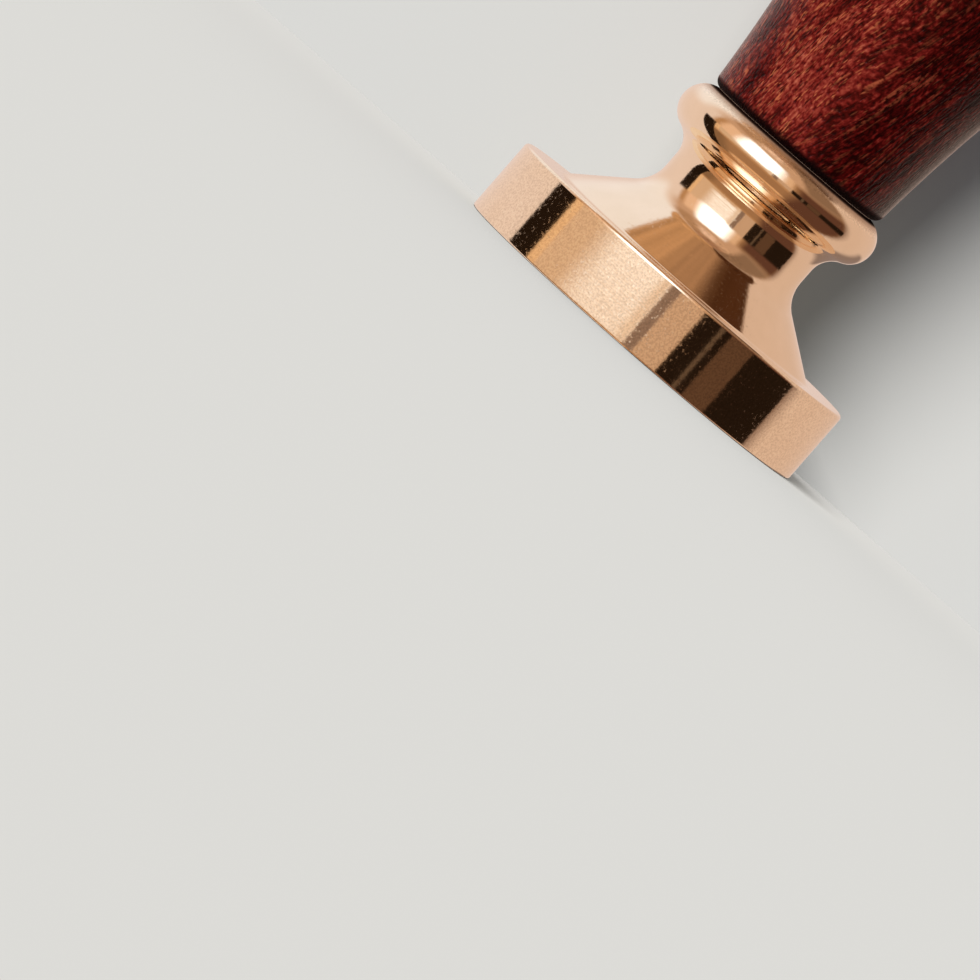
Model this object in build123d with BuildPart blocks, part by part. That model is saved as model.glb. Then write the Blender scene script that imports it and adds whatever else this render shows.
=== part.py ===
from build123d import *
import os
from math import asin, degrees, radians, sqrt, tan

# A wax seal stamp: a turned and engraved brass head, a steel stud and a turned wooden handle.
# Millimetres, +Z up the stamp's axis. The origin is the middle of the engraved face, on which it stands.

# Head: disc, shoulder cone, neck, and the bead that meets the handle
DIE_DIAMETER = 25.0
DISC_THICKNESS = 4.9
RIM_ROUNDING = 0.25
LEDGE_WIDTH = 2.8
LEDGE_FILLET = 0.6
CONE_ANGLE = 53.3  # degrees between the cone's flank and the axis
CONE_FILLET = 2.3
NECK_DIAMETER = 10.7
NECK_FILLET = 1.6
BEAD_DIAMETER = 14.8
BEAD_THICKNESS = 3.24
HEAD_HEIGHT = 14.9

# Engraving in the face: a rosette of round-bottomed petals, a ring and a border of pearls
PETAL_COUNT = 8
PETAL_START = 1.6
PETAL_END = 7.9
PETAL_WIDTH = 3.0
PETAL_DEPTH = 0.8
SEED_RING_RADIUS = 7.0
SEED_DIAMETER = 1.3
RING_RADIUS = 8.9
RING_WIDTH = 0.6
PEARL_COUNT = 40
PEARL_RING_RADIUS = 10.4
PEARL_DIAMETER = 1.1
PIT_DEPTH = 0.45  # seeds and pearls
RING_DEPTH = 0.3

# Stud: a 7 mm machine thread of 1 mm pitch below, a wood thread above, both at their crests
THREAD_DIAMETER = 7.0
THREAD_CLEARANCE = 0.05  # on the radius
TAPPED_DEPTH = 9.4
TAP_COUNTERSINK = 0.4
DRILL_POINT_ANGLE = 118.0
STUD_FOOT_GAP = 0.4  # between the stud's lower end and the end of the tapped wall
STUD_CHAMFER = 0.6
WOOD_THREAD_DIAMETER = 5.9
WOOD_THREAD_LENGTH = 18.0
WOOD_THREAD_POINT = 4.0  # length of its tapered tip

# Handle: a slim pear with a rounded foot, a flared waist, a belly and a domed crown
OVERALL_HEIGHT = 90.0
FOOT_DIAMETER = 13.0
FOOT_ROUNDING = 0.65
WAIST_ANGLE = 4.6  # degrees from the axis, at the foot
FLARE_ANGLE = 9.4  # degrees from the axis, where the flare turns into the belly
FLARE_RADIUS = 110.0
BELLY_RADIUS = 252.0
CROWN_RADIUS = 60.0
PILOT_CLEARANCE = 0.05  # on the radius, around the wood thread

die_radius = DIE_DIAMETER / 2
neck_radius = NECK_DIAMETER / 2
cone_foot_radius = die_radius - LEDGE_WIDTH
cone_top = DISC_THICKNESS + (cone_foot_radius - neck_radius) / tan(radians(CONE_ANGLE))
bead_radius = BEAD_THICKNESS / 2
bead_core_radius = BEAD_DIAMETER / 2 - bead_radius
bead_height = HEAD_HEIGHT - bead_radius
neck_top = bead_height - sqrt(bead_radius**2 - (bead_core_radius - neck_radius) ** 2)

tap_radius = THREAD_DIAMETER / 2
tap_foot = HEAD_HEIGHT - TAPPED_DEPTH
stud_radius = tap_radius - THREAD_CLEARANCE
stud_foot = tap_foot + STUD_FOOT_GAP
wood_thread_radius = WOOD_THREAD_DIAMETER / 2
wood_thread_top = HEAD_HEIGHT + WOOD_THREAD_LENGTH
pilot_radius = wood_thread_radius + PILOT_CLEARANCE


def drill_point(radius):
    """Height of the cone that a drill of this radius leaves at the end of its hole."""
    return radius / tan(radians(DRILL_POINT_ANGLE / 2))


def cap_sphere(diameter, depth):
    """Radius of the sphere that cuts a pit of this diameter and depth."""
    return ((diameter / 2) ** 2 + depth**2) / (2 * depth)


def turn(points, mode=Mode.ADD):
    """Revolve a straight-sided half profile of (radius, height) points about the stamp's axis."""
    with BuildSketch(Plane.XZ) as half_profile:
        with BuildLine():
            Polyline(*points, close=True)
        make_face()
    revolve(half_profile.sketch, axis=Axis.Z, mode=mode)


# One petal's cutter is a spindle that lies along X under the face. Its crest is an arc, as long and as deep as
# the petal.
petal_middle = (PETAL_START + PETAL_END) / 2
petal_half_length = (PETAL_END - PETAL_START) / 2
spindle_drop = (PETAL_WIDTH**2 / (4 * PETAL_DEPTH) - PETAL_DEPTH) / 2
crest_radius = cap_sphere(2 * petal_half_length, PETAL_DEPTH)
crest_centre = PETAL_DEPTH - crest_radius
spindle_half_length = sqrt(crest_radius**2 - (spindle_drop + crest_centre) ** 2)

with BuildPart() as petal_cutter:
    with BuildSketch(Plane.XZ):
        with BuildLine():
            spindle_start = (petal_middle - spindle_half_length, -spindle_drop)
            spindle_end = (petal_middle + spindle_half_length, -spindle_drop)
            ThreePointArc(spindle_start, (petal_middle, PETAL_DEPTH), spindle_end)
            Line(spindle_end, spindle_start)
        make_face()
    revolve(axis=Axis((0, 0, -spindle_drop), (1, 0, 0)))

with BuildPart() as seal_head:
    with BuildSketch(Plane.XZ) as head_profile:
        with BuildLine():
            Polyline(
                (0, 0),
                (die_radius, 0),
                (die_radius, DISC_THICKNESS),
                (cone_foot_radius, DISC_THICKNESS),
                (neck_radius, cone_top),
                (neck_radius, bead_height),
                (bead_core_radius, bead_height),
                (bead_core_radius, HEAD_HEIGHT),
                (0, HEAD_HEIGHT),
                close=True,
            )
        make_face()
        with Locations((bead_core_radius, bead_height)):
            Circle(bead_radius)
        corners = head_profile.vertices()
        rim_corner = corners.sort_by_distance((die_radius, DISC_THICKNESS))[0]
        ledge_corner = corners.sort_by_distance((cone_foot_radius, DISC_THICKNESS))[0]
        cone_corner = corners.sort_by_distance((neck_radius, cone_top))[0]
        bead_corner = corners.sort_by_distance((neck_radius, neck_top))[0]
        fillet(rim_corner, RIM_ROUNDING)
        fillet(ledge_corner, LEDGE_FILLET)
        fillet(cone_corner, CONE_FILLET)
        fillet(bead_corner, NECK_FILLET)
    revolve(axis=Axis.Z)

    # Blind tapped hole for the stud
    turn(
        [
            (0, HEAD_HEIGHT),
            (tap_radius + TAP_COUNTERSINK, HEAD_HEIGHT),
            (tap_radius, HEAD_HEIGHT - TAP_COUNTERSINK),
            (tap_radius, tap_foot),
            (0, tap_foot - drill_point(tap_radius)),
        ],
        mode=Mode.SUBTRACT,
    )

    # Engraved face
    with PolarLocations(0, PETAL_COUNT):
        add(petal_cutter.part, mode=Mode.SUBTRACT)
    seed_sphere = cap_sphere(SEED_DIAMETER, PIT_DEPTH)
    with Locations((0, 0, PIT_DEPTH - seed_sphere)):
        with PolarLocations(SEED_RING_RADIUS, PETAL_COUNT, start_angle=180 / PETAL_COUNT):
            Sphere(seed_sphere, mode=Mode.SUBTRACT)
    pearl_sphere = cap_sphere(PEARL_DIAMETER, PIT_DEPTH)
    with Locations((0, 0, PIT_DEPTH - pearl_sphere)):
        with PolarLocations(PEARL_RING_RADIUS, PEARL_COUNT):
            Sphere(pearl_sphere, mode=Mode.SUBTRACT)
    ring_cutter = cap_sphere(RING_WIDTH, RING_DEPTH)
    with BuildSketch(Plane.XZ):
        with Locations((RING_RADIUS, RING_DEPTH - ring_cutter)):
            Circle(ring_cutter)
    revolve(axis=Axis.Z, mode=Mode.SUBTRACT)

with BuildPart() as threaded_stud:
    turn(
        [
            (0, stud_foot),
            (stud_radius - STUD_CHAMFER, stud_foot),
            (stud_radius, stud_foot + STUD_CHAMFER),
            (stud_radius, HEAD_HEIGHT),
            (wood_thread_radius, HEAD_HEIGHT),
            (wood_thread_radius, wood_thread_top - WOOD_THREAD_POINT),
            (0, wood_thread_top),
        ]
    )

with BuildPart() as handle:
    with BuildSketch(Plane.XZ):
        with BuildLine():
            foot_face = Line((0, HEAD_HEIGHT), (FOOT_DIAMETER / 2 - FOOT_ROUNDING, HEAD_HEIGHT))
            foot_edge = JernArc(foot_face @ 1, foot_face % 1, FOOT_ROUNDING, 90 - WAIST_ANGLE)
            flare = JernArc(foot_edge @ 1, foot_edge % 1, FLARE_RADIUS, WAIST_ANGLE - FLARE_ANGLE)
            belly = JernArc(flare @ 1, flare % 1, BELLY_RADIUS, FLARE_ANGLE)
            # The dome's centre is on the axis, and its arc leaves the crown's arc without a corner
            widest = belly @ 1
            crown_height = OVERALL_HEIGHT - widest.Y
            crown_inset = CROWN_RADIUS - widest.X
            dome_radius = (CROWN_RADIUS**2 - crown_inset**2 - crown_height**2) / 2
            dome_radius /= CROWN_RADIUS - crown_height
            crown_angle = degrees(asin((crown_height - dome_radius) / (CROWN_RADIUS - dome_radius)))
            crown = JernArc(widest, (0, 1), CROWN_RADIUS, crown_angle)
            JernArc(crown @ 1, crown % 1, dome_radius, 90 - crown_angle)
            Line((0, OVERALL_HEIGHT), (0, HEAD_HEIGHT))
        make_face()
    revolve(axis=Axis.Z)

    # Blind pilot hole for the stud's wood thread
    turn(
        [
            (0, HEAD_HEIGHT),
            (pilot_radius, HEAD_HEIGHT),
            (pilot_radius, wood_thread_top),
            (0, wood_thread_top + drill_point(pilot_radius)),
        ],
        mode=Mode.SUBTRACT,
    )

seal_head.part.label = "seal_head"
threaded_stud.part.label = "threaded_stud"
handle.part.label = "handle"

os.makedirs("parts", exist_ok=True)
export_step(seal_head.part, "parts/seal_head.step")
export_step(threaded_stud.part, "parts/threaded_stud.step")
export_step(handle.part, "parts/handle.step")
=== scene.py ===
from math import asin, atan2, cos, degrees, pi, radians, sin, sqrt, tan

import bpy
import numpy as np
from mathutils import Matrix, Vector


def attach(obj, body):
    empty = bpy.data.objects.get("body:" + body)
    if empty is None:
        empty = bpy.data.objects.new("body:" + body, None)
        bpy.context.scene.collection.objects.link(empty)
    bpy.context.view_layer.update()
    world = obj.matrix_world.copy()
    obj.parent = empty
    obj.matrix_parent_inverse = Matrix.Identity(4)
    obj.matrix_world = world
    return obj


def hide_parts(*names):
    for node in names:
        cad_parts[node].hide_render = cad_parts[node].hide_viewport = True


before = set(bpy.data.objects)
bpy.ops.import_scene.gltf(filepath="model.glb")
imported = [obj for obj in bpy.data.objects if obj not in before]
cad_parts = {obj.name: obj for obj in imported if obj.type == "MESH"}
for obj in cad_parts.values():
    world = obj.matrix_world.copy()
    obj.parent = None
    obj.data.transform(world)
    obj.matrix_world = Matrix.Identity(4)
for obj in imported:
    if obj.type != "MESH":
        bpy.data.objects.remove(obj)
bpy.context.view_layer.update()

# A wax seal stamp: an engraved brass head, a threaded steel stud and a stained wooden handle.
# Sizes are in millimetres, as in the part's source, and become metres where a mesh is made.
MM = 0.001

# Brass head
DIE_RADIUS = 12.5
DISC_THICKNESS = 4.9
DIE_EDGE = 0.1
RIM_ROUNDING = 0.25
CONE_FOOT_RADIUS = 9.7
LEDGE_FILLET = 0.6
CONE_ANGLE = 53.3
CONE_FILLET = 2.3
NECK_RADIUS = 5.35
NECK_FILLET = 1.6
BEAD_DIAMETER = 14.8
BEAD_RADIUS = 1.62
HEAD_HEIGHT = 14.9
TAP_RADIUS = 3.5
TAP_COUNTERSINK = 0.4
TAP_FOOT = 5.5
TAP_LEAD_IN = 1.0  # below the head's top, where the tapped thread is at its full depth
TAP_RUN_OUT = 0.6  # above the tapped wall's foot
TAP_PLAY = 0.03
TOP_RING = 0.5  # from the countersink to the last ring with all its columns
DRILL_POINT_ANGLE = 118.0

# Engraving
PETAL_COUNT = 8
PETAL_START = 1.6
PETAL_END = 7.9
PETAL_WIDTH = 3.0
PETAL_DEPTH = 0.8
SEED_RING_RADIUS = 7.0
SEED_DIAMETER = 1.3
RING_RADIUS = 8.9
RING_WIDTH = 0.6
RING_DEPTH = 0.3
PEARL_COUNT = 40
PEARL_RING_RADIUS = 10.4
PEARL_DIAMETER = 1.1
PIT_DEPTH = 0.45
FACE_END = 12.0  # where the face's grid meets the outside's
# Rings from the middle over petals, seeds, ring and pearls to the land: first and last radius, and how many
FACE_ROWS = [
    (0.25, 1.5, 6),
    (1.6, 6.2, 26),
    (6.3, 7.7, 13),
    (7.85, 8.5, 5),
    (8.58, 9.22, 9),
    (9.4, 9.75, 3),
    (9.82, 10.98, 13),
    (11.2, 11.6, 2),
]

# Steel stud
THREAD_PITCH = 1.0
THREAD_CREST = 3.45
THREAD_DEPTH = 0.55
THREAD_FLAT = 0.12  # share of the thread's wave that is flat at its root, and at its crest
THREAD_RUN_OUT = (0.3, 0.9)  # below the head's top, where the stud's thread fades out
STUD_FOOT = 5.9
STUD_CHAMFER = 0.6
SHOULDER_STEP = 0.02  # height over which the machine thread's crest steps in to the wood thread
WOOD_THREAD_PITCH = 2.2
WOOD_THREAD_CREST = 2.95
WOOD_THREAD_DEPTH = 0.7
WOOD_THREAD_FLAT = 0.06
WOOD_THREAD_HOLLOW = 1.6  # power of the wave, which makes its flanks hollow
WOOD_THREAD_RUN_OUT = (0.6, 2.0)  # above the head's top
WOOD_THREAD_TOP = 32.9
WOOD_THREAD_POINT = 4.0
WOOD_THREAD_TIP = 0.15  # length of the tip above the last ring

# Wooden handle
OVERALL_HEIGHT = 90.0
FOOT_RADIUS = 6.5
FOOT_ROUNDING = 0.65
WAIST_ANGLE = 4.6
FLARE_ANGLE = 9.4
FLARE_RADIUS = 110.0
BELLY_RADIUS = 252.0
CROWN_RADIUS = 60.0
PILOT_RADIUS = 3.0
PILOT_TIP_RADIUS = 0.4  # first ring of the pilot hole's tip

# Columns around the axis and rows along it: the engraved face, the outside, the tapped hole and the stud
FACE_COLUMNS = 512
OUTSIDE_COLUMNS = 256
HOLE_COLUMNS = 128
HOLE_ROWS = 82
STUD_COLUMNS = 128
MACHINE_THREAD_ROWS = 112
WOOD_THREAD_ROWS = 130
DEGREES_PER_ROW = 4.0  # around the rounded corners of the head
CORNER_MARGIN = 0.06  # from the end of a straight run to the row beside it
LARGEST_MARGIN = 0.3  # share of a short run
SHARP_ANGLE = 32.0  # degrees between two faces from which their edge is sharp


def straight(start, end):
    """Points start + share * (end - start), with a row near each end that keeps a corner's shading short."""
    start = np.asarray(start, float)
    end = np.asarray(end, float)
    near = min(LARGEST_MARGIN, CORNER_MARGIN / np.linalg.norm(end - start))
    share = np.array([0.0, near, 1.0 - near, 1.0])
    return start + share[:, None] * (end - start)


def arc(centre, radius, first, last, steps):
    """Points centre + radius * (cos a, sin a), with a going from first to last degrees."""
    angle = np.radians(np.linspace(first, last, steps + 1))
    return np.asarray(centre) + radius * np.stack([np.cos(angle), np.sin(angle)], axis=-1)


def bend(start, heading, radius, turn, steps):
    """Arc that leaves start along a heading and turns by so many degrees, leftwards if they are positive."""
    side = 90.0 if turn > 0 else -90.0
    inward = radians(heading + side)
    centre = np.asarray(start) + radius * np.array([cos(inward), sin(inward)])
    return arc(centre, radius, heading - side, heading - side + turn, steps)


def chain(*runs):
    """Runs laid end to end, with the point where two of them meet kept once."""
    return np.concatenate([runs[0], *[run[1:] for run in runs[1:]]])


def rounded_profile(points, radii):
    """Straight runs through the points, each inner corner an arc that touches both its runs.

    The arc starts radius * tan(turn / 2) before the corner, and turns by the angle between the runs.
    """
    points = np.asarray(points, float)
    runs = []
    start = points[0]
    for before, corner, after, radius in zip(points[:-2], points[1:-1], points[2:], radii):
        along = (corner - before) / np.linalg.norm(corner - before)
        onward = (after - corner) / np.linalg.norm(after - corner)
        turn = degrees(atan2(along[0] * onward[1] - along[1] * onward[0], along @ onward))
        first = corner - radius * tan(radians(abs(turn) / 2)) * along
        steps = max(3, round(abs(turn) / DEGREES_PER_ROW))
        corner_arc = bend(first, degrees(atan2(along[1], along[0])), radius, turn, steps)
        runs += [straight(start, first), corner_arc]
        start = corner_arc[-1]
    return chain(*runs, straight(start, points[-1]))


def rings(profile, columns):
    """Radius and height, rows by columns, of a profile of (radius, height) points turned about the axis."""
    shape = (len(profile), columns)
    return np.broadcast_to(profile[:, :1], shape), np.broadcast_to(profile[:, 1:], shape)


def turned_mesh(name, sections, first_pole, last_pole):
    """Closed mesh of grids about the Z axis: point (i, j) is (r cos a, r sin a, h), a = 2 pi j / columns.

    Each section is a radius and a height array of rows by columns. Between two sections the columns are
    halved by a ring of five-sided faces, and both ends close in one point on the axis.
    """
    vertices = [np.array([[0.0, 0.0, first_pole]])]
    faces = []
    made = 1
    last_ring = None
    for radius, height in sections:
        rows, columns = radius.shape
        angle = np.arange(columns) * (2 * pi / columns)
        grid = np.stack([radius * np.cos(angle), radius * np.sin(angle), height], axis=-1)
        vertices.append(grid.reshape(-1, 3))
        index = made + np.arange(rows * columns).reshape(rows, columns)
        beside = np.roll(index, -1, axis=1)
        if last_ring is None:
            faces += np.stack([np.zeros(columns, int), beside[0], index[0]], axis=-1).tolist()
        else:
            fine = last_ring.reshape(columns, 2)
            next_fine = np.roll(fine[:, 0], -1)
            faces += np.stack([fine[:, 0], fine[:, 1], next_fine, beside[0], index[0]], axis=-1).tolist()
        quads = np.stack([index[:-1], beside[:-1], beside[1:], index[1:]], axis=-1)
        faces += quads.reshape(-1, 4).tolist()
        made += rows * columns
        last_ring = index[-1]
    vertices.append(np.array([[0.0, 0.0, last_pole]]))
    beside = np.roll(last_ring, -1)
    faces += np.stack([last_ring, beside, np.full(len(last_ring), made)], axis=-1).tolist()
    mesh = bpy.data.meshes.new(name)
    mesh.from_pydata((np.concatenate(vertices) * MM).tolist(), [], faces)
    mesh.shade_smooth()
    mesh.set_sharp_from_angle(angle=radians(SHARP_ANGLE))
    mesh.update()
    return mesh


def cap_sphere(diameter, depth):
    """Radius of the sphere that cuts a pit of this diameter and depth."""
    return ((diameter / 2) ** 2 + depth**2) / (2 * depth)


def pit_depth(distance, diameter, depth):
    """Depth of a round pit at a distance from its middle: the sphere's height there, above the face."""
    ball = cap_sphere(diameter, depth)
    return np.sqrt(np.maximum(ball**2 - distance**2, 0.0)) + depth - ball


def pit_ring_depth(radius, beside, ring_radius, diameter):
    """Depth of a ring of pits, from the radius and the angle beside the nearest pit."""
    distance = np.hypot(radius * np.cos(beside) - ring_radius, radius * np.sin(beside))
    return pit_depth(distance, diameter, PIT_DEPTH)


def folded(angle, count, offset):
    """Angle from the nearest of count even directions, the first of them at offset."""
    step = 2 * pi / count
    return (angle - offset + step / 2) % step - step / 2


def engraved_depth(radius, angle):
    """How deep the face is cut: the deepest of the petals, seeds, ring and pearls, or nothing.

    A petal is cut by a spindle whose axis lies below the face by a drop. The spindle's radius at a place
    along the petal is the drop plus the height of an arc there. The depth beside that place is the height
    of a circle of this radius, less the drop. Seeds and pearls are cut by balls, and the ring by a ball that
    goes round.
    """
    beside_petal = folded(angle, PETAL_COUNT, 0.0)
    along = radius * np.cos(beside_petal) - (PETAL_START + PETAL_END) / 2
    across = radius * np.sin(beside_petal)
    drop = (PETAL_WIDTH**2 / (4 * PETAL_DEPTH) - PETAL_DEPTH) / 2
    crest = cap_sphere(PETAL_END - PETAL_START, PETAL_DEPTH)
    spindle = drop + PETAL_DEPTH - crest + np.sqrt(np.maximum(crest**2 - along**2, 0.0))
    petals = np.sqrt(np.maximum(np.maximum(spindle, 0.0) ** 2 - across**2, 0.0)) - drop
    beside_seed = folded(angle, PETAL_COUNT, pi / PETAL_COUNT)
    seeds = pit_ring_depth(radius, beside_seed, SEED_RING_RADIUS, SEED_DIAMETER)
    beside_pearl = folded(angle, PEARL_COUNT, 0.0)
    pearls = pit_ring_depth(radius, beside_pearl, PEARL_RING_RADIUS, PEARL_DIAMETER)
    ring = pit_depth(np.abs(radius - RING_RADIUS), RING_WIDTH, RING_DEPTH)
    return np.maximum.reduce([petals, seeds, pearls, ring, np.zeros_like(petals)])


def thread_wave(height, angle, pitch, flat):
    """Right-hand thread from 0 at its root to 1 at its crest.

    It is a triangle wave of height / pitch - angle / (2 pi), with root and crest flat for a share of it.
    """
    phase = (height / pitch - angle / (2 * pi)) % 1.0
    return np.clip((1.0 - np.abs(2.0 * phase - 1.0) - flat) / (1.0 - 2.0 * flat), 0.0, 1.0)


def fade(value, start, end):
    """Smooth step from 0 at start to 1 at end."""
    share = np.clip((value - start) / (end - start), 0.0, 1.0)
    return share * share * (3.0 - 2.0 * share)


def brass_head_mesh():
    """The head as one turned surface: engraved face, rim, ledge, cone, neck, bead, top and tapped hole.

    The face's height is the engraving's depth. The outside is a profile of straight runs and arcs. The
    hole's radius is its wall's, less a ridge that follows the thread's wave and fades at both ends.
    """
    face_radius = np.concatenate([np.linspace(*rows) for rows in FACE_ROWS])
    radius = np.broadcast_to(face_radius[:, None], (len(face_radius), FACE_COLUMNS))
    angle = np.arange(FACE_COLUMNS) * (2 * pi / FACE_COLUMNS)
    face = (radius, engraved_depth(radius, angle))

    cone_top = DISC_THICKNESS + (CONE_FOOT_RADIUS - NECK_RADIUS) / tan(radians(CONE_ANGLE))
    bead_core = BEAD_DIAMETER / 2 - BEAD_RADIUS
    bead_height = HEAD_HEIGHT - BEAD_RADIUS
    fillet_radius = NECK_RADIUS + NECK_FILLET
    fillet_drop = sqrt((NECK_FILLET + BEAD_RADIUS) ** 2 - (fillet_radius - bead_core) ** 2)
    fillet_height = bead_height - fillet_drop
    lean = degrees(atan2(fillet_drop, bead_core - fillet_radius))
    shoulder = rounded_profile(
        [
            (FACE_END, 0.0),
            (DIE_RADIUS, 0.0),
            (DIE_RADIUS, DISC_THICKNESS),
            (CONE_FOOT_RADIUS, DISC_THICKNESS),
            (NECK_RADIUS, cone_top),
            (NECK_RADIUS, fillet_height),
        ],
        [DIE_EDGE, RIM_ROUNDING, LEDGE_FILLET, CONE_FILLET],
    )
    neck_fillet = arc((fillet_radius, fillet_height), NECK_FILLET, 180.0, lean, steps=18)
    bead = arc((bead_core, bead_height), BEAD_RADIUS, lean - 180.0, 90.0, steps=44)
    top = straight(bead[-1], (TAP_RADIUS + TAP_COUNTERSINK + TOP_RING, HEAD_HEIGHT))
    outside = rings(chain(shoulder, neck_fillet, bead, top), OUTSIDE_COLUMNS)

    mouth = np.array(
        [
            (TAP_RADIUS + TAP_COUNTERSINK, HEAD_HEIGHT),
            (TAP_RADIUS + TAP_COUNTERSINK / 2, HEAD_HEIGHT - TAP_COUNTERSINK / 2),
        ]
    )
    wall_height = np.linspace(HEAD_HEIGHT - TAP_COUNTERSINK, TAP_FOOT, HOLE_ROWS)
    wall = np.stack([np.full_like(wall_height, TAP_RADIUS), wall_height], axis=-1)
    hole_radius, hole_height = rings(np.concatenate([mouth, wall]), HOLE_COLUMNS)
    hole_angle = np.arange(HOLE_COLUMNS) * (2 * pi / HOLE_COLUMNS)
    ridge = 1.0 - thread_wave(hole_height, hole_angle, THREAD_PITCH, THREAD_FLAT)
    reach = fade(hole_height, TAP_FOOT, TAP_FOOT + TAP_RUN_OUT)
    reach = reach * fade(-hole_height, -HEAD_HEIGHT + TAP_COUNTERSINK, -HEAD_HEIGHT + TAP_LEAD_IN)
    hole_radius = hole_radius - (THREAD_DEPTH - TAP_PLAY) * ridge * reach
    drill_tip = TAP_FOOT - TAP_RADIUS / tan(radians(DRILL_POINT_ANGLE / 2))
    return turned_mesh("brass_head", [face, outside, (hole_radius, hole_height)], 0.0, drill_tip)


def steel_stud_mesh():
    """The stud as one turned surface: chamfered foot, machine thread, shoulder, wood thread and point.

    Its radius is the crest's, less a groove that follows the thread's wave and fades at the shoulder, and no
    more than that of the chamfer's or the point's cone.
    """
    machine = np.linspace(STUD_FOOT, HEAD_HEIGHT - SHOULDER_STEP, MACHINE_THREAD_ROWS)
    wood = np.linspace(HEAD_HEIGHT, WOOD_THREAD_TOP - WOOD_THREAD_TIP, WOOD_THREAD_ROWS)
    angle = np.arange(STUD_COLUMNS) * (2 * pi / STUD_COLUMNS)
    machine_height = np.broadcast_to(machine[:, None], (len(machine), STUD_COLUMNS))
    groove = 1.0 - thread_wave(machine_height, angle, THREAD_PITCH, THREAD_FLAT)
    run_out = fade(HEAD_HEIGHT - machine_height, *THREAD_RUN_OUT)
    machine_radius = THREAD_CREST - THREAD_DEPTH * groove * run_out
    chamfer = THREAD_CREST - STUD_CHAMFER + (machine_height - STUD_FOOT)
    machine_radius = np.minimum(machine_radius, chamfer)
    wood_height = np.broadcast_to(wood[:, None], (len(wood), STUD_COLUMNS))
    wave = thread_wave(wood_height, angle, WOOD_THREAD_PITCH, WOOD_THREAD_FLAT)
    wood_groove = 1.0 - wave**WOOD_THREAD_HOLLOW
    wood_run_out = fade(wood_height - HEAD_HEIGHT, *WOOD_THREAD_RUN_OUT)
    wood_radius = WOOD_THREAD_CREST - WOOD_THREAD_DEPTH * wood_groove * wood_run_out
    point = WOOD_THREAD_CREST * (WOOD_THREAD_TOP - wood_height) / WOOD_THREAD_POINT
    wood_radius = np.minimum(wood_radius, point)
    radius = np.concatenate([machine_radius, wood_radius])
    height = np.concatenate([machine_height, wood_height])
    return turned_mesh("steel_stud", [(radius, height)], STUD_FOOT, WOOD_THREAD_TOP)


def wood_handle_mesh():
    """The handle as one turned surface: pilot bore, foot, flared waist, belly, crown and dome.

    The outside is a chain of arcs, each leaving the last without a corner. The dome is centred on the axis.
    """
    point_slope = tan(radians(DRILL_POINT_ANGLE / 2))
    bore_tip = WOOD_THREAD_TOP + PILOT_RADIUS / point_slope
    tip_ring = (PILOT_TIP_RADIUS, bore_tip - PILOT_TIP_RADIUS / point_slope)
    bore = chain(
        straight(tip_ring, (PILOT_RADIUS, WOOD_THREAD_TOP)),
        straight((PILOT_RADIUS, WOOD_THREAD_TOP), (PILOT_RADIUS, HEAD_HEIGHT)),
        straight((PILOT_RADIUS, HEAD_HEIGHT), (FOOT_RADIUS - FOOT_ROUNDING, HEAD_HEIGHT)),
    )
    foot = bend(bore[-1], 0.0, FOOT_ROUNDING, 90.0 - WAIST_ANGLE, steps=14)
    flare = bend(foot[-1], 90.0 - WAIST_ANGLE, FLARE_RADIUS, WAIST_ANGLE - FLARE_ANGLE, steps=16)
    belly = bend(flare[-1], 90.0 - FLARE_ANGLE, BELLY_RADIUS, FLARE_ANGLE, steps=44)
    crown_height = OVERALL_HEIGHT - belly[-1, 1]
    crown_inset = CROWN_RADIUS - belly[-1, 0]
    dome_radius = (CROWN_RADIUS**2 - crown_inset**2 - crown_height**2) / 2
    dome_radius /= CROWN_RADIUS - crown_height
    crown_angle = degrees(asin((crown_height - dome_radius) / (CROWN_RADIUS - dome_radius)))
    crown = bend(belly[-1], 90.0, CROWN_RADIUS, crown_angle, steps=24)
    dome = bend(crown[-1], 90.0 + crown_angle, dome_radius, 90.0 - crown_angle, steps=40)[:-1]
    profile = chain(bore, foot, flare, belly, crown, dome)
    return turned_mesh("wood_handle", [rings(profile, OUTSIDE_COLUMNS)], bore_tip, OVERALL_HEIGHT)


def add_node(tree, kind, values=None, **settings):
    """Add a node, set its settings, and set or link its inputs by name or number."""
    node = tree.nodes.new(kind)
    for key, value in settings.items():
        setattr(node, key, value)
    for key, value in (values or {}).items():
        if isinstance(value, bpy.types.NodeSocket):
            tree.links.new(value, node.inputs[key])
        else:
            node.inputs[key].default_value = value
    return node


def calculate(tree, operation, first, second=0.0):
    """Output of a Math node."""
    return add_node(tree, "ShaderNodeMath", {0: first, 1: second}, operation=operation).outputs[0]


def rescale(tree, value, low, high, new_low=0.0, new_high=1.0, smooth=False):
    """Output of a clamped Map Range node."""
    values = {"Value": value, "From Min": low, "From Max": high, "To Min": new_low, "To Max": new_high}
    kind = "SMOOTHSTEP" if smooth else "LINEAR"
    return add_node(tree, "ShaderNodeMapRange", values, interpolation_type=kind).outputs[0]


def multiply(tree, first, second):
    """Product of two values."""
    return calculate(tree, "MULTIPLY", first, second)


def vector_node(tree, operation, first, second):
    """Vector Math node of two vectors."""
    return add_node(tree, "ShaderNodeVectorMath", {0: first, 1: second}, operation=operation)


def scaled(tree, vector, factor):
    """A vector or colour times a value."""
    values = {0: vector, "Scale": factor}
    return add_node(tree, "ShaderNodeVectorMath", values, operation="SCALE").outputs[0]


def share_out(tree, first, second, share):
    """A share of the first value and the rest of the second, added."""
    return calculate(tree, "ADD", multiply(tree, first, share), multiply(tree, second, 1.0 - share))


def height_of(tree, position):
    """Height of a position."""
    return add_node(tree, "ShaderNodeSeparateXYZ", {0: position}).outputs[2]


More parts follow.
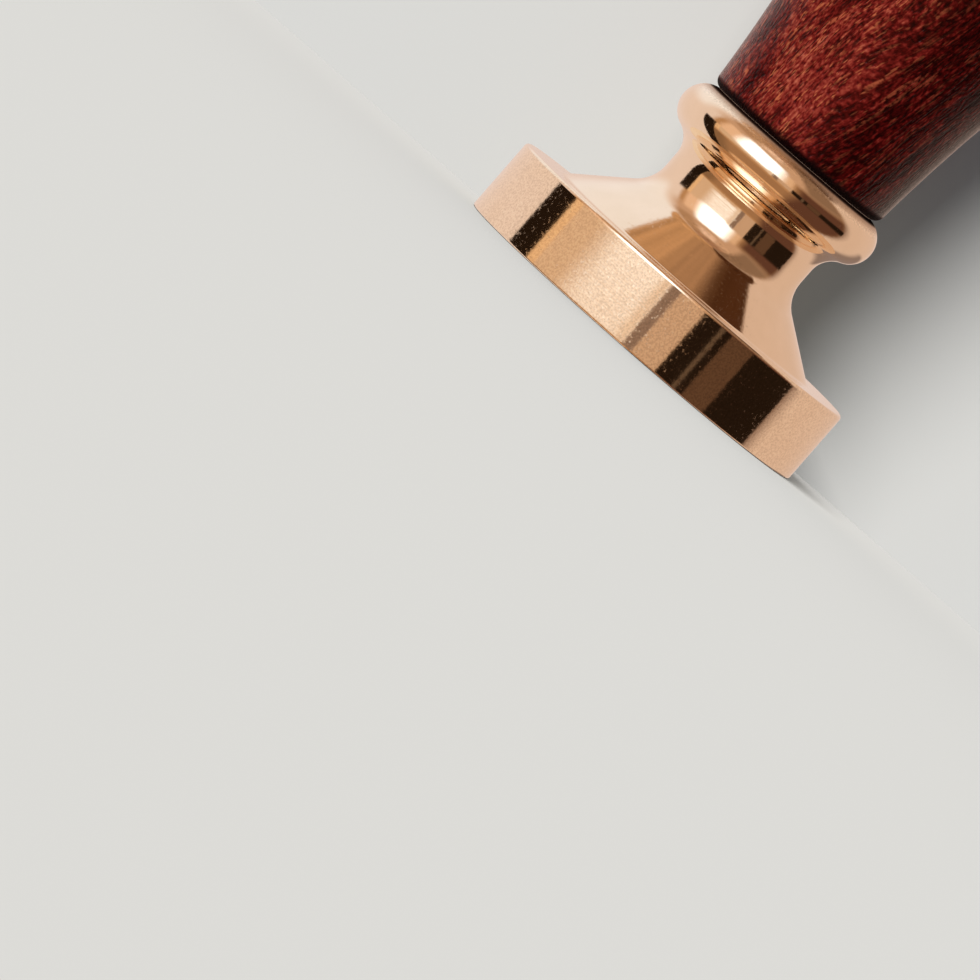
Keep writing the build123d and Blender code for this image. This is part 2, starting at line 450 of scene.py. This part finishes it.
def distance_from_axis(tree, position):
    """Distance of a position from the stamp's axis."""
    level = vector_node(tree, "MULTIPLY", position, (1.0, 1.0, 0.0)).outputs[0]
    return add_node(tree, "ShaderNodeVectorMath", {0: level}, operation="LENGTH").outputs["Value"]


def mix(tree, factor, first, second):
    """Colour output of a Mix node."""
    values = {0: factor, 6: first, 7: second}
    return add_node(tree, "ShaderNodeMix", values, data_type="RGBA").outputs[2]


def ramp(tree, factor, stops):
    """Colour output of a Color Ramp node with these (position, colour) stops."""
    node = add_node(tree, "ShaderNodeValToRGB", {"Fac": factor})
    elements = node.color_ramp.elements
    while len(elements) < len(stops):
        elements.new(0.5)
    for element, (position, colour) in zip(elements, stops):
        element.position = position
        element.color = colour
    return node.outputs["Color"]


def new_group(name, inputs, outputs):
    """Shader node group with these named sockets, and its input and output nodes."""
    tree = bpy.data.node_groups.new(name, "ShaderNodeTree")
    for label, kind, start in inputs:
        socket = tree.interface.new_socket(name=label, in_out="INPUT", socket_type=kind)
        if start is not None:
            socket.default_value = start
    for label, kind in outputs:
        tree.interface.new_socket(name=label, in_out="OUTPUT", socket_type=kind)
    return tree, tree.nodes.new("NodeGroupInput").outputs, tree.nodes.new("NodeGroupOutput").inputs


def make_grain_group():
    """Noise whose cells are so many millimetres across the stamp's axis and along it."""
    tree, given, result = new_group(
        "grain",
        [
            ("Position", "NodeSocketVector", None),
            ("Across", "NodeSocketFloat", 1.0),
            ("Along", "NodeSocketFloat", 1.0),
            ("Detail", "NodeSocketFloat", 2.0),
        ],
        [("Value", "NodeSocketFloat")],
    )
    sides = {0: given["Across"], 1: given["Across"], 2: given["Along"]}
    cell = add_node(tree, "ShaderNodeCombineXYZ", sides).outputs[0]
    place = vector_node(tree, "DIVIDE", given["Position"], cell).outputs[0]
    values = {"Vector": place, "Scale": 1.0, "Detail": given["Detail"]}
    noise = add_node(tree, "ShaderNodeTexNoise", values)
    tree.links.new(noise.outputs[0], result["Value"])
    return tree


def make_turning_group():
    """Lathe marks: noise of distance from the axis and height, the same all the way round."""
    tree, given, result = new_group(
        "turning_marks",
        [("Position", "NodeSocketVector", None), ("Spacing", "NodeSocketFloat", 0.1)],
        [("Value", "NodeSocketFloat")],
    )
    across = calculate(tree, "DIVIDE", distance_from_axis(tree, given["Position"]), given["Spacing"])
    along = calculate(tree, "DIVIDE", height_of(tree, given["Position"]), given["Spacing"])
    place = add_node(tree, "ShaderNodeCombineXYZ", {0: across, 1: along}).outputs[0]
    values = {"Vector": place, "Scale": 1.0, "Detail": 3.0}
    noise = add_node(tree, "ShaderNodeTexNoise", values, noise_dimensions="2D")
    tree.links.new(noise.outputs[0], result["Value"])
    return tree


grain_group = make_grain_group()
turning_group = make_turning_group()


def place_group(tree, group, values):
    """Value of a node group with these inputs."""
    return add_node(tree, "ShaderNodeGroup", values, node_tree=group).outputs["Value"]


def grain(tree, position, across, along, detail):
    """Output of the grain group with cells of this many millimetres."""
    values = {"Position": position, "Across": across, "Along": along, "Detail": detail}
    return place_group(tree, grain_group, values)


def turning_marks(tree, position, spacing):
    """Output of the turning marks group with marks so many millimetres apart."""
    return place_group(tree, turning_group, {"Position": position, "Spacing": spacing})


def new_material(name):
    """Material with an empty tree, its Principled shader, and Object coordinates in millimetres."""
    material = bpy.data.materials.new(name)
    material.use_nodes = True
    tree = material.node_tree
    tree.nodes.clear()
    shader = tree.nodes.new("ShaderNodeBsdfPrincipled")
    output = tree.nodes.new("ShaderNodeOutputMaterial")
    tree.links.new(shader.outputs[0], output.inputs["Surface"])
    place = tree.nodes.new("ShaderNodeTexCoord").outputs["Object"]
    return material, tree, shader, scaled(tree, place, 1 / MM)


def bump(tree, height, distance, strength, normal=None):
    """Normal of a Bump node: height in shares of a distance in millimetres."""
    values = {"Height": height, "Distance": distance * MM, "Strength": strength}
    if normal is not None:
        values["Normal"] = normal
    return add_node(tree, "ShaderNodeBump", values).outputs[0]


# Brass finish: colours, and the heights between which each change comes in
DEEP_BRASS = (0.91, 0.745, 0.555, 1.0)
PALE_BRASS = (0.95, 0.785, 0.600, 1.0)
# Painted reflection: this colour darkens the bead's top under the handle, in place of the handle it would
# mirror
HANDLE_REFLECTION_BRASS = (0.47, 0.32, 0.21, 1.0)
# Painted shade: these two colours blacken the groove where the bead meets the handle
JOINT_SHADE_BRASS = (0.012, 0.007, 0.005, 1.0)
JOINT_SHADE_DIFFUSE = (0.008, 0.003, 0.002, 1.0)
RIM_GRAIN_ENDS = (4.8, 4.9)
MIRRORING_ENDS = (9.6, 9.7)
BEAD_GRAIN_STARTS = (14.1, 14.3)
DULLNESS_STARTS = (14.25, 14.6)
# Heights of the painted reflection under the handle
HANDLE_REFLECTION_STARTS = (14.34, 14.68)
# Heights of the painted shade in the groove where the bead meets the handle
JOINT_SHADE_STARTS = (14.68, 14.80)
JOINT_SHADE_ENDS = (14.88, 14.90)


def brass_material():
    """Polished brass: pale gold, lightly mottled, with lathe marks, a pebbled grain and small dull specks.

    The rim and the bead's upper edge, which the polishing wheel hardly reaches, have a fine grit. The edge
    is also dull, painted darker below the handle as its reflection, and painted near black as shade where it
    meets the handle. Reflected rays pass through the bead and the upper neck, so that the cone below them
    mirrors the studio alone.
    """
    material, tree, shader, position = new_material("brass")
    pebble = grain(tree, position, across=0.20, along=0.20, detail=2.0)
    cloud = grain(tree, position, across=2.2, along=2.2, detail=3.0)
    marks = turning_marks(tree, position, spacing=0.07)
    grit = grain(tree, position, across=0.13, along=0.13, detail=1.0)
    height = height_of(tree, position)
    rim = rescale(tree, height, *RIM_GRAIN_ENDS, 1.0, 0.0)
    unpolished = calculate(tree, "MAXIMUM", rim, rescale(tree, height, *BEAD_GRAIN_STARTS))
    # Painted reflection: mask of the darker brass under the handle
    handle_reflection = rescale(tree, height, *HANDLE_REFLECTION_STARTS)
    # Painted shade: mask of the groove where the bead meets the handle
    joint_shade = rescale(tree, height, *JOINT_SHADE_STARTS)
    joint_shade = multiply(tree, joint_shade, rescale(tree, height, *JOINT_SHADE_ENDS, 1.0, 0.0))
    colour = ramp(tree, cloud, [(0.3, DEEP_BRASS), (0.7, PALE_BRASS)])
    gritty = multiply(tree, rescale(tree, grit, 0.35, 0.65, -0.12, 0.12), unpolished)
    colour = scaled(tree, colour, calculate(tree, "ADD", 1.0, gritty))
    # Paint the handle's reflection into the colour
    colour = mix(tree, handle_reflection, colour, HANDLE_REFLECTION_BRASS)
    # Paint the groove's shade into the colour
    colour = mix(tree, joint_shade, colour, JOINT_SHADE_BRASS)
    specks = rescale(tree, pebble, 0.58, 0.74, 0.0, 0.14)
    specks = multiply(tree, specks, rescale(tree, unpolished, 0.0, 1.0, 1.0, 1.4))
    dullness = rescale(tree, height, *DULLNESS_STARTS, 0.0, 0.30)
    roughness = rescale(tree, cloud, 0.35, 0.75, 0.05, 0.09)
    for more in (specks, dullness, multiply(tree, joint_shade, 0.6)):
        roughness = calculate(tree, "ADD", roughness, more)
    tree.links.new(colour, shader.inputs["Base Color"])
    tree.links.new(roughness, shader.inputs["Roughness"])
    shader.inputs["Metallic"].default_value = 1.0
    normal = bump(tree, marks, distance=0.0012, strength=0.6)
    normal = bump(tree, pebble, distance=0.0018, strength=0.6, normal=normal)
    tree.links.new(normal, shader.inputs["Normal"])
    reflected = add_node(tree, "ShaderNodeLightPath").outputs["Is Glossy Ray"]
    passing = multiply(tree, reflected, rescale(tree, height, *MIRRORING_ENDS))
    # A near black diffuse shader, mixed in by the painted shade mask, blackens the groove
    joint_shade_shader = add_node(tree, "ShaderNodeBsdfDiffuse", {"Color": JOINT_SHADE_DIFFUSE})
    shaded_joint = add_node(tree, "ShaderNodeMixShader", {0: joint_shade, 1: shader.outputs[0], 2: joint_shade_shader.outputs[0]})
    clear = add_node(tree, "ShaderNodeBsdfTransparent")
    both = add_node(tree, "ShaderNodeMixShader", {0: passing, 1: shaded_joint.outputs[0], 2: clear.outputs[0]})
    tree.links.new(both.outputs[0], tree.nodes["Material Output"].inputs["Surface"])
    return material


# Steel finish
DEEP_STEEL = (0.50, 0.51, 0.53, 1.0)
PALE_STEEL = (0.68, 0.68, 0.68, 1.0)
# Painted shade: the colour of the thread's grooves
GROOVE_SHADE_STEEL = (0.055, 0.050, 0.045, 1.0)
GROOVE_SHADE_DEPTH = 0.12  # below the crest, where the painted shade in a groove ends
WOOD_THREAD_STARTS = (HEAD_HEIGHT - 0.05, HEAD_HEIGHT + 0.05)


def steel_material():
    """Zinc-plated steel: bright grey, faintly clouded, with turning marks, a fine grain and grooves painted
    dark as shade.

    A groove is where the distance from the axis is small. The wood thread is slimmer than the machine
    thread, and so its distance is raised by as much.
    """
    material, tree, shader, position = new_material("steel")
    fine = grain(tree, position, across=0.10, along=0.10, detail=1.0)
    cloud = grain(tree, position, across=1.6, along=1.6, detail=3.0)
    marks = turning_marks(tree, position, spacing=0.06)
    colour = ramp(tree, cloud, [(0.3, DEEP_STEEL), (0.7, PALE_STEEL)])
    slimmer = THREAD_CREST - WOOD_THREAD_CREST
    raised = rescale(tree, height_of(tree, position), *WOOD_THREAD_STARTS, 0.0, slimmer)
    reach = calculate(tree, "ADD", distance_from_axis(tree, position), raised)
    # Painted shade in the grooves, where the distance from the axis is small
    ridge = rescale(tree, reach, THREAD_CREST - THREAD_DEPTH, THREAD_CREST - GROOVE_SHADE_DEPTH)
    colour = mix(tree, ridge, GROOVE_SHADE_STEEL, colour)
    roughness = rescale(tree, cloud, 0.3, 0.7, 0.20, 0.36)
    tree.links.new(colour, shader.inputs["Base Color"])
    tree.links.new(roughness, shader.inputs["Roughness"])
    shader.inputs["Metallic"].default_value = 1.0
    normal = bump(tree, marks, distance=0.004, strength=0.6)
    normal = bump(tree, fine, distance=0.004, strength=0.5, normal=normal)
    tree.links.new(normal, shader.inputs["Normal"])
    return material


# Wood finish: the stain from dark wine to orange, by the sum of the wood's figure
STAIN = [
    (0.35, (0.014, 0.0004, 0.0005, 1.0)),
    (0.44, (0.066, 0.0020, 0.0018, 1.0)),
    (0.51, (0.168, 0.0100, 0.0075, 1.0)),
    (0.58, (0.310, 0.0410, 0.0250, 1.0)),
    (0.67, (0.520, 0.1250, 0.0700, 1.0)),
]
ORANGE_FLECK = (0.58, 0.150, 0.060, 1.0)
DARK_LINE = (0.012, 0.001, 0.001, 1.0)
# Painted shade at the handle's foot, where it meets the head
FOOT_SHADE = (0.004, 0.0005, 0.0005, 1.0)
FOOT_SHADE_ENDS = (HEAD_HEIGHT + 0.25, HEAD_HEIGHT + 0.8)  # heights between which the foot's painted shade ends
GRAIN_LEAN = 11.0  # degrees between the wood's grain and the axis
GRAIN_LEAN_AXIS = (0.707, -0.707, 0.0)
GRAIN_WANDER = (5.0, 3.0, 0.0)
FIBRE_SHARE = 0.45  # of the fine figure, the rest being the pebbled grain
BAND_SHARE = 0.33  # of the whole figure, the rest being the fine figure
# Painted shade: the figure is darkened on the side away from the key light
SHADED_SIDE_SHARE = 0.085  # taken off the whole figure
SHADED_SIDE = (0.966, 0.259, 0.0)
SHADED_SIDE_STARTS = (6.0, 8.2)  # from the axis, less what the painted shade's edge wanders
SHADED_SIDE_WANDER = 5.5


def wood_material():
    """Deep red stained hardwood under satin varnish, its figure and pebbled grain leaning from the axis.

    Bands, fibres and grain are added up, less a share of painted shade on the side away from the key light,
    and one colour ramp turns the sum into dark wine, red and orange. Orange flecks and streaks lie in the
    paler bands, and dark lines across them. The foot is painted dark, as shade where the handle meets the
    head.
    """
    material, tree, shader, position = new_material("stained_wood")
    lean = {"Vector": position, "Axis": GRAIN_LEAN_AXIS, "Angle": radians(GRAIN_LEAN)}
    leaning = add_node(tree, "ShaderNodeVectorRotate", lean).outputs[0]
    drift = grain(tree, leaning, across=9.0, along=26.0, detail=2.0)
    wandering = vector_node(tree, "ADD", leaning, scaled(tree, GRAIN_WANDER, drift)).outputs[0]
    band = grain(tree, wandering, across=1.4, along=10.0, detail=3.0)
    fibre = grain(tree, wandering, across=0.20, along=1.8, detail=2.0)
    pebble = grain(tree, wandering, across=0.19, along=0.32, detail=1.5)
    fleck = grain(tree, wandering, across=0.15, along=1.0, detail=1.0)
    streak = grain(tree, wandering, across=0.26, along=5.0, detail=1.0)
    line = grain(tree, wandering, across=0.20, along=8.0, detail=1.0)
    # Painted shade: mask of the side away from the key light, its edge wandering with the drift
    depth = vector_node(tree, "DOT_PRODUCT", position, SHADED_SIDE).outputs["Value"]
    depth = calculate(tree, "ADD", depth, multiply(tree, drift, SHADED_SIDE_WANDER))
    shaded_side_mask = rescale(tree, depth, *SHADED_SIDE_STARTS, smooth=True)
    fine = share_out(tree, fibre, pebble, FIBRE_SHARE)
    figure = share_out(tree, band, fine, BAND_SHARE)
    figure = calculate(tree, "SUBTRACT", figure, multiply(tree, shaded_side_mask, SHADED_SIDE_SHARE))
    colour = ramp(tree, figure, STAIN)
    streaked = multiply(tree, rescale(tree, streak, 0.60, 0.68), rescale(tree, pebble, 0.35, 0.55))
    flecked = calculate(tree, "MAXIMUM", rescale(tree, fleck, 0.63, 0.73), streaked)
    flecked = multiply(tree, flecked, rescale(tree, band, 0.36, 0.54))
    # Fewer flecks on the painted shade side
    flecked = multiply(tree, flecked, rescale(tree, shaded_side_mask, 0.0, 1.0, 0.8, 0.2))
    colour = mix(tree, flecked, colour, ORANGE_FLECK)
    lined = rescale(tree, line, 0.58, 0.70, 0.0, 0.75)
    colour = mix(tree, lined, colour, DARK_LINE)
    # Painted shade at the foot, where the handle meets the head; the same mask makes the foot rough
    foot = rescale(tree, height_of(tree, position), *FOOT_SHADE_ENDS, 0.95, 0.0, smooth=True)
    colour = mix(tree, foot, colour, FOOT_SHADE)
    tree.links.new(colour, shader.inputs["Base Color"])
    roughness = rescale(tree, fine, 0.35, 0.65, 0.28, 0.14)
    roughness = calculate(tree, "MAXIMUM", roughness, foot)
    tree.links.new(roughness, shader.inputs["Roughness"])
    shader.inputs["Specular IOR Level"].default_value = 0.14
    normal = bump(tree, fine, distance=0.11, strength=0.8)
    normal = bump(tree, calculate(tree, "SUBTRACT", 1.0, lined), distance=0.03, strength=0.6, normal=normal)
    tree.links.new(normal, shader.inputs["Normal"])
    return material


def add_piece(mesh, material, body, node):
    """Object for a finished mesh: it rides on a body, stands for a CAD node and takes a slot's finish."""
    piece = bpy.data.objects.new(mesh.name, mesh)
    bpy.context.scene.collection.objects.link(piece)
    mesh.materials.append(material)
    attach(piece, body)
    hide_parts(node)
    return piece


add_piece(brass_head_mesh(), brass_material(), "head", "seal_head")
stud = add_piece(steel_stud_mesh(), steel_material(), "stud", "threaded_stud")
handle = add_piece(wood_handle_mesh(), wood_material(), "grip", "handle")
# The brass mirrors the studio and not the two pieces above it
stud.visible_glossy = False
handle.visible_glossy = False

# Camera: the picture is taken from the stamp's side with the camera rolled, so that the handle leaves the
# frame at the upper right. Distances are in metres.
CAMERA_AZIMUTH = 45.0
CAMERA_ELEVATION = 3.35
AXIS_TILT = 48.85  # degrees from the picture's horizontal to the stamp's axis
CAMERA_DISTANCE = 0.8
HALF_FRAME = 0.0293  # at the stamp
SENSOR_WIDTH = 36.0  # millimetres
# Millimetres from the floor up the axis to a point of the disc, and how far that is right of and above the
# picture's middle
AIM_HEIGHT = 4.82
AIM_RIGHT = 11.603
AIM_UP = 12.53

turn_to_camera = radians(CAMERA_AZIMUTH)
towards = Vector((sin(turn_to_camera), -cos(turn_to_camera), 0.0))
sideways = Vector((cos(turn_to_camera), sin(turn_to_camera), 0.0))
upright = Vector((0.0, 0.0, 1.0))


def direction(azimuth, elevation):
    """Unit vector at so many degrees to the right of the camera, and above the floor."""
    level = towards * cos(radians(azimuth)) + sideways * sin(radians(azimuth))
    return level * cos(radians(elevation)) + upright * sin(radians(elevation))


def add_camera():
    """Camera whose picture has the stamp's axis at its tilt, and the disc where it belongs in the frame."""
    back = direction(0.0, CAMERA_ELEVATION)
    above = back.cross(sideways)
    tilt = radians(AXIS_TILT)
    picture_right = above * cos(tilt) + sideways * sin(tilt)
    picture_up = above * sin(tilt) - sideways * cos(tilt)
    aim = upright * AIM_HEIGHT * MM - picture_right * AIM_RIGHT * MM - picture_up * AIM_UP * MM
    data = bpy.data.cameras.new("camera")
    data.sensor_width = SENSOR_WIDTH
    data.lens = SENSOR_WIDTH / 2 * CAMERA_DISTANCE / HALF_FRAME
    data.clip_start = 0.01
    data.clip_end = 10.0
    camera = bpy.data.objects.new("camera", data)
    turned = Matrix((picture_right, picture_up, back)).transposed().to_4x4()
    camera.matrix_world = Matrix.Translation(aim + back * CAMERA_DISTANCE) @ turned
    bpy.context.scene.collection.objects.link(camera)
    bpy.context.scene.camera = camera


# Stage: a pale floor and a pale wall close behind the stamp, in metres
FLOOR_REACH = 1.2
WALL_BEHIND = 0.0136
WALL_HEIGHT = 0.5
HALF_WIDTH = 1.0
FLOOR_LEVEL = -0.00003
PALE = (0.715, 0.70, 0.665, 1.0)


def backdrop_mesh():
    """Floor and wall, each a line of (forward, height) points that is carried across.

    A point is forward * towards + across * sideways + height * upright.
    """
    floor = [(FLOOR_REACH, FLOOR_LEVEL), (-FLOOR_REACH, FLOOR_LEVEL)]
    wall = [(-WALL_BEHIND, FLOOR_LEVEL), (-WALL_BEHIND, WALL_HEIGHT)]
    profile = np.array(floor + wall)
    forward, across = np.meshgrid(profile[:, 0], [-HALF_WIDTH, HALF_WIDTH], indexing="ij")
    height = np.broadcast_to(profile[:, 1:], forward.shape)
    grid = forward[..., None] * np.array(towards) + across[..., None] * np.array(sideways)
    grid = grid + height[..., None] * np.array(upright)
    mesh = bpy.data.meshes.new("backdrop")
    mesh.from_pydata(grid.reshape(-1, 3).tolist(), [], [(0, 1, 3, 2), (4, 5, 7, 6)])
    mesh.shade_flat()
    return mesh


def add_backdrop():
    """The stage, clear from behind. It neither shades nor lights the stamp, nor shows in the metal."""
    material = bpy.data.materials.new("pale_backdrop")
    material.use_nodes = True
    tree = material.node_tree
    tree.nodes.clear()
    paint = add_node(tree, "ShaderNodeBsdfDiffuse", {"Color": PALE})
    clear = add_node(tree, "ShaderNodeBsdfTransparent")
    behind = add_node(tree, "ShaderNodeNewGeometry").outputs["Backfacing"]
    both = add_node(tree, "ShaderNodeMixShader", {0: behind, 1: paint.outputs[0], 2: clear.outputs[0]})
    add_node(tree, "ShaderNodeOutputMaterial", {"Surface": both.outputs[0]})
    mesh = backdrop_mesh()
    mesh.materials.append(material)
    backdrop = bpy.data.objects.new("backdrop", mesh)
    bpy.context.scene.collection.objects.link(backdrop)
    backdrop.visible_glossy = False
    backdrop.visible_diffuse = False
    backdrop.visible_shadow = False


# Light: a broad soft key from the left, an even fill, and a studio that only reflections show
KEY_AZIMUTH = -20.0
KEY_ELEVATION = 36.5
KEY_STRENGTH = 3.5
KEY_SPREAD = 30.0
FILL_FRONT = (0.165, 0.195, 0.220, 1.0)
FILL_BEHIND = (0.64, 0.62, 0.60, 1.0)
FILL_BELOW = (0.105, 0.115, 0.125, 1.0)
BACKGROUND = (0.70, 0.70, 0.70, 1.0)

# Shares of a direction that point forward, up or right, between which one fill or wall turns into another
FRONT_FILL_STARTS = (-0.6, 0.2)
UPPER_FILL_STARTS = (-0.3, 0.1)
WALLS_MEET = (-0.4, 0.4)

# The reflected studio: cream walls to the left and right, and in front of them panels, each with its colour,
# where it starts and ends in degrees to the right of the camera and above the floor, and over how many
# degrees its sides and its ends are soft
LEFT_WALL = (0.84, 0.69, 0.63, 1.0)
RIGHT_WALL = (0.72, 0.53, 0.43, 1.0)
BLACK = (0.017, 0.009, 0.005, 1.0)
CEILING = (57.8, 120)
SCREEN = (-10, 4)
PANELS = [
    # Cool window behind on the left
    ((0.95, 0.92, 0.95, 1.0), (-168, -112), (14, 70), 24, 20),
    # Brown room in front, with a bright table edge below and a paler upper half
    ((0.50, 0.27, 0.13, 1.0), (-86, 91), (-120, 120), 9, 1),
    ((0.38, 0.20, 0.10, 1.0), (-86, 91), (-44, -16), 9, 8),
    ((0.78, 0.44, 0.23, 1.0), (-62, 24), (-51, -45), 10, 3),
    ((0.60, 0.37, 0.24, 1.0), (-95, 91), (30, 120), 30, 20),
    ((0.85, 0.58, 0.44, 1.0), (-45, -5), (58, 74), 20, 8),
    ((0.45, 0.26, 0.15, 1.0), (-96, -56), (48, 120), 24, 10),
    ((0.38, 0.20, 0.12, 1.0), (-100, 95), (74, 120), 30, 12),
    # Dim corners on the left and right
    ((0.26, 0.14, 0.07, 1.0), (-84, -62), (-120, -14), 20, 6),
    ((0.12, 0.05, 0.03, 1.0), (25, 95), (-120, 30), 20, 20),
    ((0.27, 0.16, 0.10, 1.0), (36, 94), (30, 120), 16, 20),
    # Dim floor behind on the right
    ((0.28, 0.20, 0.17, 1.0), (140, 200), (-120, -9), 20, 5),
    # Brown ceiling behind, darker on the right
    ((0.57, 0.31, 0.15, 1.0), (-200, -100), CEILING, 16, 2),
    ((0.39, 0.21, 0.11, 1.0), (-220, -153), CEILING, 36, 2),
    ((0.39, 0.21, 0.11, 1.0), (100, 220), CEILING, 16, 2),
    ((0.07, 0.025, 0.01, 1.0), (100, 160), CEILING, 26, 2),
    # Gold flanks of the softbox
    ((0.85, 0.55, 0.37, 1.0), (-75, -40), (-4, 36), 10, 10),
    ((0.78, 0.50, 0.32, 1.0), (2, 20), (0, 36), 8, 12),
    # Screens at the stamp's height, the softbox, and flags
    (BLACK, (-97.5, -79.5), (-70, 4), 1.5, 6),
    ((0.83, 0.52, 0.29, 1.0), (-79.5, -73), SCREEN, 1.5, 6),
    ((0.71, 0.48, 0.32, 1.0), (-73, -3), SCREEN, 2, 6),
    ((2.20, 2.50, 2.80, 1.0), (-47, 2), (0.4, 46), 24, 12),
    ((0.82, 0.62, 0.48, 1.0), (-9, -3), SCREEN, 8, 6),
    ((0.27, 0.175, 0.13, 1.0), (-3, 3.6), SCREEN, 1, 6),
    ((0.60, 0.39, 0.26, 1.0), (3.6, 20.5), SCREEN, 1, 6),
    (BLACK, (20.5, 92.5), SCREEN, 1, 6),
    ((0.13, 0.08, 0.05, 1.0), (33, 35.5), SCREEN, 1, 6),
    ((0.11, 0.055, 0.03, 1.0), (40.5, 57), SCREEN, 1, 6),
]
# Blotches on the ceiling
BLOTCHES_START = (57.0, 60.0)
BLOTCH_SCALE = 22.0
BLOTCH_CONTRAST = 0.28


def add_world():
    """Fill for diffuse light, a pale plain background, and walls and panels for reflections.

    A pale surface gets the fill by way of the metal too, so that the metal throws no coloured light on it.
    """
    world = bpy.data.worlds.new("studio")
    bpy.context.scene.world = world
    world.use_nodes = True
    tree = world.node_tree
    tree.nodes.clear()
    ray = tree.nodes.new("ShaderNodeTexCoord").outputs["Generated"]
    ahead = vector_node(tree, "DOT_PRODUCT", ray, towards).outputs["Value"]
    right = vector_node(tree, "DOT_PRODUCT", ray, sideways).outputs["Value"]
    rise = height_of(tree, ray)
    azimuth = calculate(tree, "DEGREES", calculate(tree, "ARCTAN2", right, ahead))
    elevation = calculate(tree, "DEGREES", calculate(tree, "ARCSINE", rise))

    def between(angle, ends, soft):
        """1 between two angles and 0 outside them, with edges that are so many degrees soft."""
        opening = rescale(tree, angle, ends[0] - soft / 2, ends[0] + soft / 2, smooth=True)
        closing = rescale(tree, angle, ends[1] - soft / 2, ends[1] + soft / 2, 1.0, 0.0, smooth=True)
        return multiply(tree, opening, closing)

    def cover(sides, ends, side_softness, end_softness):
        """Where a panel is: between its sides and between its ends."""
        across = between(azimuth, sides, side_softness)
        return multiply(tree, across, between(elevation, ends, end_softness))

    studio = mix(tree, rescale(tree, right, *WALLS_MEET, smooth=True), LEFT_WALL, RIGHT_WALL)
    for colour, sides, ends, side_softness, end_softness in PANELS:
        studio = mix(tree, cover(sides, ends, side_softness, end_softness), studio, colour)
    noise = add_node(tree, "ShaderNodeTexNoise", {"Vector": ray, "Scale": BLOTCH_SCALE, "Detail": 2.0})
    blotches = rescale(tree, noise.outputs[0], 0.3, 0.7, -BLOTCH_CONTRAST, BLOTCH_CONTRAST)
    blotches = multiply(tree, blotches, rescale(tree, elevation, *BLOTCHES_START))
    studio = scaled(tree, studio, calculate(tree, "ADD", 1.0, blotches))
    fill = mix(tree, rescale(tree, ahead, *FRONT_FILL_STARTS, smooth=True), FILL_BEHIND, FILL_FRONT)
    fill = mix(tree, rescale(tree, rise, *UPPER_FILL_STARTS, smooth=True), FILL_BELOW, fill)
    path = tree.nodes.new("ShaderNodeLightPath").outputs
    undiffused = calculate(tree, "LESS_THAN", path["Diffuse Depth"], 0.5)
    seen = mix(tree, multiply(tree, path["Is Glossy Ray"], undiffused), fill, studio)
    plain = calculate(tree, "MAXIMUM", path["Is Camera Ray"], path["Is Transmission Ray"])
    seen = mix(tree, plain, seen, BACKGROUND)
    background = add_node(tree, "ShaderNodeBackground", {"Color": seen})
    add_node(tree, "ShaderNodeOutputWorld", {"Surface": background.outputs[0]})


def add_key():
    """Soft key: a broad sun from the camera's left, kept out of reflections."""
    data = bpy.data.lights.new("key", "SUN")
    data.energy = KEY_STRENGTH
    data.angle = radians(KEY_SPREAD)
    key = bpy.data.objects.new("key", data)
    key.rotation_mode = "QUATERNION"
    key.rotation_quaternion = (-direction(KEY_AZIMUTH, KEY_ELEVATION)).to_track_quat("-Z", "Y")
    key.visible_glossy = False
    bpy.context.scene.collection.objects.link(key)


add_camera()
add_backdrop()
add_world()
add_key()
bpy.context.scene.view_settings.view_transform = "Standard"
